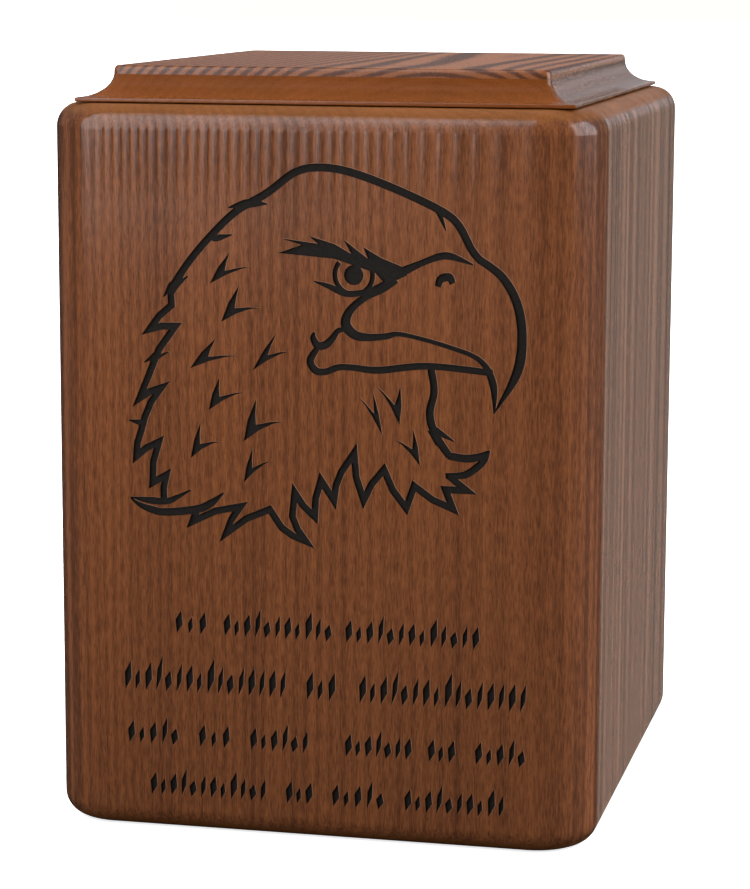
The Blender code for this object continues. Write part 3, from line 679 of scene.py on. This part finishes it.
def smooth_line(points, steps):
    """Points along a smooth curve through the given ones, width and all."""
    ends = [points[0], *points, points[-1]]
    path = []
    for a, b, c, d in zip(ends, ends[1:], ends[2:], ends[3:]):
        for step in range(steps):
            t = step / steps
            path.append(tuple(
                0.5 * (2 * q + (r - p) * t + (2 * p - 5 * q + 4 * r - s) * t ** 2
                       + (3 * q - p - 3 * r + s) * t ** 3)
                for p, q, r, s in zip(a, b, c, d)))
    path.append(tuple(points[-1]))
    return path


def ribbon(path):
    """Outline of a line with a width at each point, mitred at its corners."""
    left, right = [], []
    for i, (across, up, width) in enumerate(path):
        here = Vector((across, up))
        before = here - Vector(path[i - 1][:2]) if i else None
        after = Vector(path[i + 1][:2]) - here if i + 1 < len(path) else None
        before = before or after
        after = after or before
        turn = before.normalized() + after.normalized()
        side = Vector((-turn.y, turn.x)).normalized()
        slant = side.dot(Vector((-after.y, after.x)).normalized())
        reach = width / 2 / max(slant, LEAST_MITRE)
        left.append(here + side * reach)
        right.append(here - side * reach)
    return [tuple(p) for p in left + right[::-1]]


def arc_angles(start, end, steps):
    """Even steps from one angle in degrees to another, in radians."""
    return [math.radians(start + (end - start) * i / steps) for i in range(steps + 1)]


def ring(centre, radius, start, end, width, steps):
    """A line with a width along a round arc, angles in degrees."""
    return [(centre[0] + radius * math.cos(a), centre[1] + radius * math.sin(a), width)
            for a in arc_angles(start, end, steps)]


def spot(centre, radius, sides):
    """Outline of a round spot."""
    angles = [math.tau * i / sides for i in range(sides)]
    return [(centre[0] + radius * math.cos(a), centre[1] + radius * math.sin(a)) for a in angles]


def ragged_line(corners):
    """A line of even width through corners, with each long leg bowed a little to one side."""
    path = []
    for (x, y), (next_x, next_y) in zip(corners, corners[1:]):
        path.append((x, y, RAGGED_WIDTH))
        if math.dist((x, y), (next_x, next_y)) > LEAST_BOWED:
            bow = LEG_BOW if next_y < y else -LEG_BOW
            path.append(((x + next_x) / 2 + bow * (next_y - y),
                         (y + next_y) / 2 - bow * (next_x - x), RAGGED_WIDTH))
    return path + [(*corners[-1], RAGGED_WIDTH)]


def flick(across, up, upright, upright_lean, low, low_lean):
    """Outline of one small feather: a check mark with pointed arms."""
    tall, long = (Vector((math.sin(math.radians(lean)), math.cos(math.radians(lean)))) * arm
                  for arm, lean in ((upright, upright_lean), (low, low_lean)))
    return [tuple(Vector((across, up)) + a * tall + b * long) for a, b in FLICK_SHAPE]


def eagle_outlines(steps):
    """Every groove of the eagle's head, in hundredths of its height."""
    smooth_lines = (CROWN_LINE, BEAK_RIDGE, CERE_LINE, MOUTH_LINE, GAPE_CURL, LOWER_BILL, NOSTRIL,
                    LOWER_LID, THROAT_LINE, BEARD_TOP, BEARD_FOOT, CORNER_TOP, CORNER_FOOT, *BARBS)
    outlines = [ribbon(smooth_line(line, steps)) for line in smooth_lines]
    outlines.extend(ribbon(ragged_line(corners)) for corners in (NAPE_CORNERS, HEM_CORNERS))
    outlines.append(list(BROW))
    outlines.append(ribbon(ring(EYE_CENTRE, EYE_RADIUS, EYE_START, EYE_END, EYE_LINE, 6 * steps)))
    outlines.append(spot(EYE_CENTRE, PUPIL_RADIUS, 5 * steps))
    outlines.extend(flick(*row) for row in FLICKS)
    return outlines


def stroke(foot, baseline, tall, half):
    """Outline of one pointed stroke that leans to the right."""
    lean = STROKE_SLANT * tall
    low, high = STROKE_SHOULDER, 1.0 - STROKE_SHOULDER
    return [(foot, baseline), (foot + half + lean * low, baseline + tall * low),
            (foot + lean, baseline + tall), (foot - half + lean * high, baseline + tall * high)]


def row_strokes():
    """Pointed slanting strokes in rows, in the place of the inscription."""
    strokes = []
    for baseline, height, words in INSCRIPTION:
        for left, right in words:
            count = max(2, round((right - left) / STROKE_PITCH))
            step = (right - left) / count
            for i in range(count):
                taller = STROKE_VARIETY if i % 5 == 3 else 0.0
                shorter = STROKE_VARIETY if i % 3 == 1 else 0.0
                slimmer = STROKE_THINNING if i % 2 else 0.0
                strokes.append(stroke(left + step * (i + STROKE_INSET), baseline,
                                      height * (1.0 + taller - shorter),
                                      STROKE_WIDTH / 2 * (1.0 - slimmer)))
    return strokes


def finished_mesh(name, shape):
    """A mesh from a shape that is complete."""
    mesh = bpy.data.meshes.new(name)
    shape.to_mesh(mesh)
    shape.free()
    return mesh


def block_mesh(name, low, high, upright=(0.0, 1), top=(0.0, 1), foot=(0.0, 1)):
    """A box between two corners, with a radius and facets for its upright, top and foot edges."""
    low, high = Vector(low), Vector(high)
    shape = bmesh.new()
    bmesh.ops.create_cube(shape, size=1.0)
    place = Matrix.Translation((low + high) / 2) @ Matrix.Diagonal((*(high - low), 1.0))
    bmesh.ops.transform(shape, matrix=place, verts=shape.verts)
    if upright[0]:
        edges = [e for e in shape.edges if abs(e.verts[0].co.z - e.verts[1].co.z) > LEVEL]
        bmesh.ops.bevel(shape, geom=edges, offset=upright[0], offset_type="OFFSET",
                        segments=upright[1], profile=0.5, affect="EDGES")
    for level, (radius, facets) in ((high.z, top), (low.z, foot)):
        if radius:
            edges = [e for e in shape.edges
                     if all(abs(v.co.z - level) < LEVEL for v in e.verts)]
            bmesh.ops.bevel(shape, geom=edges, offset=radius, offset_type="OFFSET",
                            segments=facets, profile=0.5, affect="EDGES")
    return finished_mesh(name, shape)


def turned_mesh(name, profile, facets):
    """A turned shape from a profile of radius and height, closed on its axis."""
    shape = bmesh.new()
    points = [shape.verts.new((radius, 0.0, height)) for radius, height in profile]
    edges = [shape.edges.new(pair) for pair in zip(points, points[1:])]
    bmesh.ops.spin(shape, geom=points + edges, cent=(0, 0, 0), axis=(0, 0, 1), angle=math.tau,
                   steps=facets, use_merge=True)
    bmesh.ops.remove_doubles(shape, verts=shape.verts, dist=1e-6)
    bmesh.ops.recalc_face_normals(shape, faces=shape.faces)
    return finished_mesh(name, shape)


def add_piece(name, mesh, *materials):
    """Put a mesh into the scene as an object with its materials."""
    for material in materials:
        mesh.materials.append(material)
    piece = bpy.data.objects.new(name, mesh)
    bpy.context.scene.collection.objects.link(piece)
    return piece


def groove_cutter(name, outline, front, depth, material):
    """A cutter with an outline as across and up, from before the face to a depth behind it."""
    shape = bmesh.new()
    outer, inner = ([shape.verts.new((x, front + into, z)) for x, z in outline]
                    for into in (-OVERCUT, depth))
    for i in range(len(outline)):
        j = (i + 1) % len(outline)
        shape.faces.new((outer[i], outer[j], inner[j], inner[i]))
    shape.faces.new(outer[::-1])
    shape.faces.new(inner)
    bmesh.ops.recalc_face_normals(shape, faces=shape.faces)
    return add_piece(name, finished_mesh(name, shape), material)


def carve(piece, cutters):
    """Take cutters away from a piece, then remove them."""
    collection = bpy.data.collections.new("carving")
    for cutter in cutters:
        collection.objects.link(cutter)
    boolean = piece.modifiers.new("Carve", "BOOLEAN")
    boolean.operation = "DIFFERENCE"
    boolean.solver = "EXACT"
    boolean.operand_type = "COLLECTION"
    boolean.collection = collection
    boolean.material_mode = "TRANSFER"
    settle(piece)
    for cutter in cutters:
        bpy.data.objects.remove(cutter, do_unlink=True)
    bpy.data.collections.remove(collection)


def settle(piece):
    """Turn a piece's modifiers into plain mesh."""
    graph = bpy.context.evaluated_depsgraph_get()
    mesh = bpy.data.meshes.new_from_object(piece.evaluated_get(graph))
    piece.modifiers.clear()
    piece.data = mesh


def shade(piece, degrees):
    """Smooth shading that keeps flat faces flat and sharp edges sharp."""
    piece.data.shade_smooth()
    piece.data.set_sharp_from_angle(angle=math.radians(degrees))
    weights = piece.modifiers.new("Flat faces lead", "WEIGHTED_NORMAL")
    weights.keep_sharp = True
    weights.weight = 50


class URN_OT_build_case(bpy.types.Operator):
    """Build the fine case with its engraving in place of the frame's case"""
    bl_idname = "urn.build_case"
    bl_label = "Build Case"

    def execute(self, context):
        sizes = context.scene.urn_case
        engraving = context.scene.urn_engraving
        finish = context.scene.urn_finish
        wood = case_wood(finish, sizes)
        bare_wood_and_highlight = plain_wood("inner_wood", tuple(finish.inner), 0.6)
        mesh = block_mesh("case_fine", CASE_LOW, CASE_HIGH,
                          (sizes.corner_radius, sizes.corner_facets),
                          (sizes.top_radius, sizes.edge_facets),
                          (sizes.foot_radius, sizes.edge_facets))
        piece = add_piece("case_fine", mesh, wood)

        for cutters in self.engraving_cutters(engraving, groove_fill(finish), painted_highlight_line(finish)):
            carve(piece, cutters)
        carve(piece, self.inner_cutters(sizes, bare_wood_and_highlight))
        shade(piece, CASE_SHARP)
        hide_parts("case")
        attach(piece, "root")
        return {"FINISHED"}

    def engraving_cutters(self, engraving, fill, bare_wood_and_highlight):
        """Shallow cutters for the painted highlight lines beside the grooves, and deep ones for
        the grooves.
        """
        scale = engraving.eagle_height / 100
        base = CASE_HEIGHT - engraving.eagle_below_top - engraving.eagle_height
        outlines = [[(engraving.eagle_shift + x * scale, base + z * scale) for x, z in outline]
                    for outline in eagle_outlines(engraving.line_steps)] + row_strokes()
        right = engraving.shoulder * math.cos(SHOULDER_ANGLE)
        up = engraving.shoulder * math.sin(SHOULDER_ANGLE)
        front, groups = CASE_LOW[1], ([], [])
        for number, outline in enumerate(outlines):
            uneven = DEPTH_STEP * (number % DEPTH_STEPS)
            # The shallow cutter carries the painted highlight, a pale line up and right of the
            # groove
            beside = [(x + right, z + up) for x, z in outline]
            groups[0].append(groove_cutter("line_%03d" % number, beside, front,
                                           SHOULDER_DEPTH + uneven, bare_wood_and_highlight))
            groups[1].append(groove_cutter("groove_%03d" % number, outline, front,
                                           engraving.depth + uneven, fill))
        return groups

    def inner_cutters(self, sizes, bare_wood_and_highlight):
        """Cutters for the hollow, for the base panel's rebate and for the screws' pilot holes."""
        inner_x, inner_y = CASE_WIDTH / 2 - sizes.wall, CASE_DEPTH / 2 - sizes.wall
        hollow = block_mesh("hollow", (-inner_x, -inner_y, -OVERCUT),
                            (inner_x, inner_y, CASE_HEIGHT + OVERCUT))
        rebate_x, rebate_y = inner_x + sizes.ledge, inner_y + sizes.ledge
        rebate = block_mesh("rebate", (-rebate_x, -rebate_y, -OVERCUT),
                            (rebate_x, rebate_y, PANEL_TOP + CLEARANCE), REBATE_CORNER)
        cutters = [add_piece("hollow", hollow, bare_wood_and_highlight), add_piece("rebate", rebate, bare_wood_and_highlight)]
        for name in SCREW_NAMES:
            low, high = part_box(name)
            top, foot = high[2] + CLEARANCE, PANEL_TOP - OVERCUT
            profile = [(0.0, top), (PILOT_RADIUS, top), (PILOT_RADIUS, foot), (0.0, foot)]
            mesh = turned_mesh("pilot_" + name, profile, PILOT_FACETS)
            pilot = add_piece("pilot_" + name, mesh, bare_wood_and_highlight)
            pilot.location = ((low[0] + high[0]) / 2, (low[1] + high[1]) / 2, 0.0)
            cutters.append(pilot)
        bpy.context.view_layer.update()
        return cutters


class URN_OT_build_top_plate(bpy.types.Operator):
    """Build the fine moulded plate in place of the frame's plate"""
    bl_idname = "urn.build_top_plate"
    bl_label = "Build Top Plate"

    def execute(self, context):
        sizes = context.scene.urn_plate
        finish = context.scene.urn_finish
        shape = bmesh.new()
        rings = [self.ring_points(inset, height, sizes) for inset, height in self.profile(sizes)]
        rings = [[shape.verts.new(point) for point in points] for points in rings]
        for lower, upper in zip(rings, rings[1:]):
            for i in range(len(lower)):
                j = (i + 1) % len(lower)
                shape.faces.new((lower[i], lower[j], upper[j], upper[i]))
        shape.faces.new(rings[0][::-1])
        shape.faces.new(rings[-1])
        mesh = finished_mesh("top_plate_fine", shape)
        piece = add_piece("top_plate_fine", mesh, plate_wood(finish, sizes))
        shade(piece, PLATE_SHARP)
        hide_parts("top_plate")
        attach(piece, "root")
        return {"FINISHED"}

    def profile(self, sizes):
        """Inset from the plate's edge and height, from the underside up to the top face."""
        low, shoulder = PLATE_LOW[2], PLATE_HIGH[2] - sizes.arris_height
        eased, width = sizes.eased, sizes.cove_width
        points = self.bend(eased, low + eased, (eased, eased), -90, 0, sizes.arris_facets)
        points += self.bend(eased, low + sizes.lip - eased, (eased, eased), 0, 90,
                            sizes.arris_facets)
        turns = (math.pi / 2 * (1 - i / sizes.cove_facets) for i in range(sizes.cove_facets))
        cove = [(width * math.cos(a), shoulder - sizes.cove_height * math.sin(a)) for a in turns]
        points += [(inset, height) for inset, height in cove if inset > eased * 1.5]
        arris = (sizes.arris_width, sizes.arris_height)
        return points + self.bend(width + arris[0], shoulder, arris, 0, 90, sizes.arris_facets)

    def bend(self, inset, height, reach, start, end, steps):
        """A rounded arris of the profile, angles in degrees from straight out."""
        return [(inset - reach[0] * math.cos(a), height + reach[1] * math.sin(a))
                for a in arc_angles(start, end, steps)]

    def ring_points(self, inset, height, sizes):
        """Points round the plate at one inset and height, with rounded corners."""
        share = min(1.0, inset / sizes.cove_width)
        radius = sizes.lip_corner + (sizes.top_corner - sizes.lip_corner) * share
        half_x, half_y = PLATE_HALF_X - inset - radius, PLATE_HALF_Y - inset - radius
        points = []
        for side_x, side_y, start in ((1, 1, 0), (-1, 1, 90), (-1, -1, 180), (1, -1, 270)):
            for step in range(sizes.arris_facets + 1):
                angle = math.radians(start + 90 * step / sizes.arris_facets)
                points.append((side_x * half_x + radius * math.cos(angle),
                               side_y * half_y + radius * math.sin(angle), height))
        return points


class URN_OT_finish_base(bpy.types.Operator):
    """Give the base panel and its screws their finishes"""
    bl_idname = "urn.finish_base"
    bl_label = "Finish Base"

    def execute(self, context):
        finish = context.scene.urn_finish
        self.dress("base_panel", plain_wood("panel_wood", tuple(finish.panel), 0.45))
        brass = screw_brass(finish)
        for name in SCREW_NAMES:
            self.dress(name, brass)
        return {"FINISHED"}

    def dress(self, name, material):
        """Give a node of the frame a material."""
        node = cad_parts[name]
        for slot in node.material_slots:
            slot.material = material


# Windows of light round the urn, in degrees: the limits of their turn from straight in front
# towards the urn's right side, then of their rise, each with the softness of its edge
LEFT_BOX = (((-60, 4), (-15, 6)), ((-3.9, 2.2), (72, 8)))
RIGHT_BOX = (((66, 3), (115, 3)), ((-2, 2.5), (45, 3)))
LEFT_WALL = (((-150, 8), (-92, 6)), ((0, 3), (50, 8)))
RIGHT_WALL = (((92, 6), (150, 8)), ((0, 3), (50, 8)))
BACK_WALL = (((161, 5), (190, 3)), ((-24, 4), (60, 10)))
HORIZON = (math.radians(-1), math.radians(3))

# Where the soft light grows from the front to the back, and where the ceiling starts, as parts
# of a direction; the mirrored room beside the windows, and the white that the camera sees
FRONT_TO_BACK = (-0.5, 0.6)
CEILING = (0.6, 0.85)
DARK_ROOM = 0.015
WHITE = 1.1
COOL_LIGHT, WARM_LIGHT = (0.93, 0.97, 1.03), (1.0, 0.96, 0.88)

# Floor: greys that the camera sees, the grey that other rays meet, and its specks and sides
FLOOR_SEEN = ((0.88, 0.88, 0.88), (0.90, 0.90, 0.90))
FLOOR_UNSEEN = (0.14, 0.14, 0.14)
FLOOR_SPECKS = (30.0, 30.0, 30.0)
FLOOR_SIDES = 96

SENSOR_WIDTH = 36.0
NEAREST_SEEN = 0.05
KEY_AIM = 0.7


class URN_OT_build_stage(bpy.types.Operator):
    """Lay the floor, place the camera and set the lights"""
    bl_idname = "urn.build_stage"
    bl_label = "Build Stage"

    def execute(self, context):
        stage = context.scene.urn_stage
        self.lay_floor(stage)
        self.place_camera(context.scene, stage)
        self.light_room(context.scene, stage)
        self.hang_key(stage)
        context.scene.view_settings.view_transform = "Standard"
        context.scene.view_settings.look = "None"
        return {"FINISHED"}

    def lay_floor(self, stage):
        """A plain pale floor."""
        shape = bmesh.new()
        bmesh.ops.create_circle(shape, cap_ends=True, segments=FLOOR_SIDES,
                                radius=stage.floor_size / 2)
        material, shader = new_material("pale_floor")
        speckle = shader.noise(object_place(shader)[3], FLOOR_SPECKS, 2.0)
        seen = shader.add("ShaderNodeLightPath").outputs["Is Camera Ray"]
        pale = shader.mix(speckle, *FLOOR_SEEN)
        shader.set("Base Color", shader.mix(seen, FLOOR_UNSEEN, pale))
        shader.set("Roughness", 0.8)
        shader.set("Specular IOR Level", 0.0)
        shader.set("Emission Color", (1.0, 1.0, 1.0, 1.0))
        shader.set("Emission Strength", shader.times(seen, stage.floor_glow))
        floor = add_piece("floor", finished_mesh("floor", shape), material)
        floor.visible_glossy = False

    def place_camera(self, scene, stage):
        """The photograph's camera: place, turn, tilt, roll and lens."""
        camera = bpy.data.objects.new("camera", bpy.data.cameras.new("camera"))
        scene.collection.objects.link(camera)
        camera.data.sensor_width = SENSOR_WIDTH
        camera.data.lens = stage.lens
        camera.data.clip_start = NEAREST_SEEN
        forward = Vector((-math.sin(stage.yaw) * math.cos(stage.pitch),
                          math.cos(stage.yaw) * math.cos(stage.pitch), -math.sin(stage.pitch)))
        right = Vector((math.cos(stage.yaw), math.sin(stage.yaw), 0.0))
        up = right.cross(forward)
        cosine, sine = math.cos(stage.roll), math.sin(stage.roll)
        turned_right = right * cosine + up * sine
        turned_up = up * cosine - right * sine
        columns = Matrix((turned_right, turned_up, -forward)).transposed().to_4x4()
        camera.matrix_world = Matrix.Translation(stage.eye) @ columns
        scene.camera = camera

    def light_room(self, scene, stage):
        """Soft light all round, two softboxes that the lacquer mirrors, and plain white behind."""
        world = bpy.data.worlds.new("studio")
        world.use_nodes = True
        world.cycles.sampling_method = "NONE"
        scene.world = world
        shader = Shader(world.node_tree, world.node_tree.nodes["Background"])
        toward = shader.add("ShaderNodeTexCoord").outputs["Generated"]
        x, y, z = shader.add("ShaderNodeSeparateXYZ", {0: toward}).outputs
        turn = shader.maths("ARCTAN2", x, shader.times(y, -1.0))
        rise = shader.maths("ARCSINE", z)

        behind = self.window(shader, shader.maths("ABSOLUTE", turn), rise, *BACK_WALL)
        above = shader.ramp(rise, *HORIZON)
        left = self.window(shader, turn, rise, *LEFT_BOX)
        right = self.window(shader, turn, rise, *RIGHT_BOX)
        mirrored = shader.times(left, stage.left_box, DARK_ROOM)
        mirrored = shader.times(right, stage.right_box, mirrored)
        wall = shader.choose(above, stage.low_wall, stage.high_wall)
        mirrored = shader.times(behind, wall, mirrored)
        soft = shader.ramp(y, *FRONT_TO_BACK, stage.room_front, stage.room_back)
        soft = shader.maths("ADD", soft, shader.ramp(z, *CEILING, 0.0, stage.room_top))
        right = self.window(shader, turn, rise, *RIGHT_WALL)
        left = self.window(shader, turn, rise, *LEFT_WALL)
        soft = shader.times(right, stage.right_wall, soft)
        soft = shader.times(left, stage.left_wall, soft)

        path = shader.add("ShaderNodeLightPath").outputs
        strength = shader.choose(path["Is Glossy Ray"], soft, mirrored)
        strength = shader.choose(path["Is Camera Ray"], strength, WHITE)
        shader.set("Strength", strength)
        low = shader.times(behind, shader.maths("SUBTRACT", 1.0, above))
        shader.set("Color", shader.mix(low, COOL_LIGHT, WARM_LIGHT))

    def window(self, shader, turn, rise, sides, levels):
        """A window of light between two turns and two rises in degrees, with soft edges."""
        share = None
        for value, limits in ((turn, sides), (rise, levels)):
            for (limit, soft), outside, inside in ((limits[0], 0.0, 1.0), (limits[1], 1.0, 0.0)):
                edge = shader.ramp(value, math.radians(limit - soft), math.radians(limit + soft),
                                   outside, inside)
                share = edge if share is None else shader.times(share, edge)
        return share

    def hang_key(self, stage):
        """A lamp near the front, which fades towards the foot."""
        light = bpy.data.lights.new("key", "AREA")
        light.shape = "SQUARE"
        light.size = stage.key_size
        light.energy = stage.key
        lamp = bpy.data.objects.new("key", light)
        bpy.context.scene.collection.objects.link(lamp)
        lamp.location = stage.key_place
        aim = Vector((0.0, CASE_LOW[1], CASE_HEIGHT * KEY_AIM))
        lamp.rotation_euler = (aim - lamp.location).to_track_quat("-Z", "Y").to_euler()
        lamp.visible_glossy = False
        lamp.visible_camera = False


class URN_PT_panel(bpy.types.Panel):
    """Everything that builds the urn, in the sidebar of the 3D view"""
    bl_idname = "URN_PT_panel"
    bl_label = "Wooden Urn"
    bl_space_type = "VIEW_3D"
    bl_region_type = "UI"
    bl_category = "Urn"

    def draw(self, context):
        for name in OPERATOR_NAMES:
            self.layout.operator(name)
        for group in PROPERTY_GROUPS:
            settings = getattr(context.scene, group)
            box = self.layout.box()
            for key in settings.bl_rna.properties.keys():
                if key not in {"rna_type", "name"}:
                    box.prop(settings, key)


OPERATOR_NAMES = ("urn.build_case", "urn.build_top_plate", "urn.finish_base", "urn.build_stage")
PROPERTY_GROUPS = {
    "urn_case": UrnCaseSizes,
    "urn_plate": UrnPlateSizes,
    "urn_engraving": UrnEngravingSizes,
    "urn_finish": UrnFinish,
    "urn_stage": UrnStage,
}
CLASSES = (UrnCaseSizes, UrnPlateSizes, UrnEngravingSizes, UrnFinish, UrnStage, URN_OT_build_case,
           URN_OT_build_top_plate, URN_OT_finish_base, URN_OT_build_stage, URN_PT_panel)


def register():
    for item in CLASSES:
        bpy.utils.register_class(item)
    for name, group in PROPERTY_GROUPS.items():
        setattr(bpy.types.Scene, name, PointerProperty(type=group))


def unregister():
    for name in PROPERTY_GROUPS:
        delattr(bpy.types.Scene, name)
    for item in reversed(CLASSES):
        bpy.utils.unregister_class(item)


def main():
    register()
    bpy.ops.urn.build_case()
    bpy.ops.urn.build_top_plate()
    bpy.ops.urn.finish_base()
    bpy.ops.urn.build_stage()


if __name__ == "__main__":
    main()
